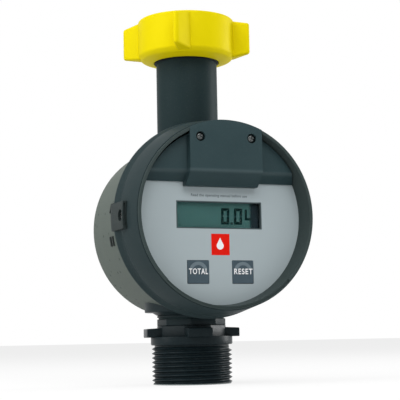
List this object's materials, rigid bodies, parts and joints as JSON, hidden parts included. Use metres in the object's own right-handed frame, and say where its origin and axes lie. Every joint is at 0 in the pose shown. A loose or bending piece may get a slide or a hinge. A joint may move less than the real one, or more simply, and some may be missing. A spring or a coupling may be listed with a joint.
{
  "type": "turbine flow meter",
  "caption": "Inline turbine flow meter with a winged union nut at the inlet, a threaded outlet and a round battery display unit on its body.",
  "frame": {"origin": "on the flow axis, in the end face of the outlet thread", "axes": "+Z along the flow axis from outlet to inlet, the display faces -Y, +X is to the right of the display"},
  "size_m": [0.1032, 0.0812, 0.1937],
  "materials": {
    "black_moulding": "dark satin moulding",
    "nipple_plastic": "black semi-gloss moulding",
    "yellow_plastic": "yellow satin moulding",
    "bearing_plastic": "plain dark plastic",
    "insert_plastic": "natural engineering plastic",
    "seal_rubber": "black elastomer",
    "screw_steel": "darkened steel",
    "spring_steel": "bright spring steel",
    "face_film": "printed grey film",
    "inner_plastic": "dark moulding",
    "key_plastic": "dark grey key",
    "lens_clear": "clear window",
    "lcd_glass": "grey-green display glass",
    "strip_elastomer": "grey elastomer",
    "board_laminate": "green laminate",
    "sensor_case": "black potting",
    "cell_case": "plain cell sleeve"
  },
  "bodies": {
    "meter": {"flow_housing": "black_moulding", "outlet_nipple": "nipple_plastic", "nipple_oring": "seal_rubber", "nut_bushing": "bearing_plastic", "inlet_gasket": "seal_rubber", "upper_flow_guide": "insert_plastic", "lower_flow_guide": "insert_plastic", "bearing_bushes": "bearing_plastic", "spacer_sleeve": "insert_plastic", "snap_ring": "spring_steel", "display_housing": "black_moulding", "housing_gasket": "seal_rubber", "bezel_ring": "black_moulding", "side_clips": "black_moulding", "clip_screws": "screw_steel", "face_foil": "face_film", "display_carrier": "inner_plastic", "display_lens": "lens_clear", "key_domes": "spring_steel", "lcd_module": "lcd_glass", "contact_strips": "strip_elastomer", "circuit_board": "board_laminate", "board_screws": "screw_steel", "pickup_sensor": "sensor_case", "sensor_seal": "seal_rubber", "battery_cell": "cell_case", "battery_tray": "inner_plastic", "battery_contacts": "spring_steel", "battery_cover": "black_moulding", "cover_screws": "screw_steel"},
    "nut": {"union_nut": "yellow_plastic"},
    "rotor": {"turbine_rotor": "insert_plastic", "rotor_shaft": "spring_steel", "rotor_magnets": "spring_steel"},
    "sum_button": {"sum_key": "key_plastic"},
    "reset_button": {"reset_key": "key_plastic"}
  },
  "joints": [
    {"name": "nut_turn", "type": "hinge", "parent": "meter", "child": "nut", "pos_m": [0, 0, 0.183], "axis": [0, 0, 1], "continuous": true},
    {"name": "rotor_spin", "type": "hinge", "parent": "meter", "child": "rotor", "pos_m": [0, 0, 0.084], "axis": [0, 0, 1], "continuous": true},
    {"name": "sum_press", "type": "slide", "parent": "meter", "child": "sum_button", "axis": [0, 1, 0], "range_m": [0, 0.0005], "stiffness_N_per_m": 800},
    {"name": "reset_press", "type": "slide", "parent": "meter", "child": "reset_button", "axis": [0, 1, 0], "range_m": [0, 0.0005], "stiffness_N_per_m": 800}
  ]
}
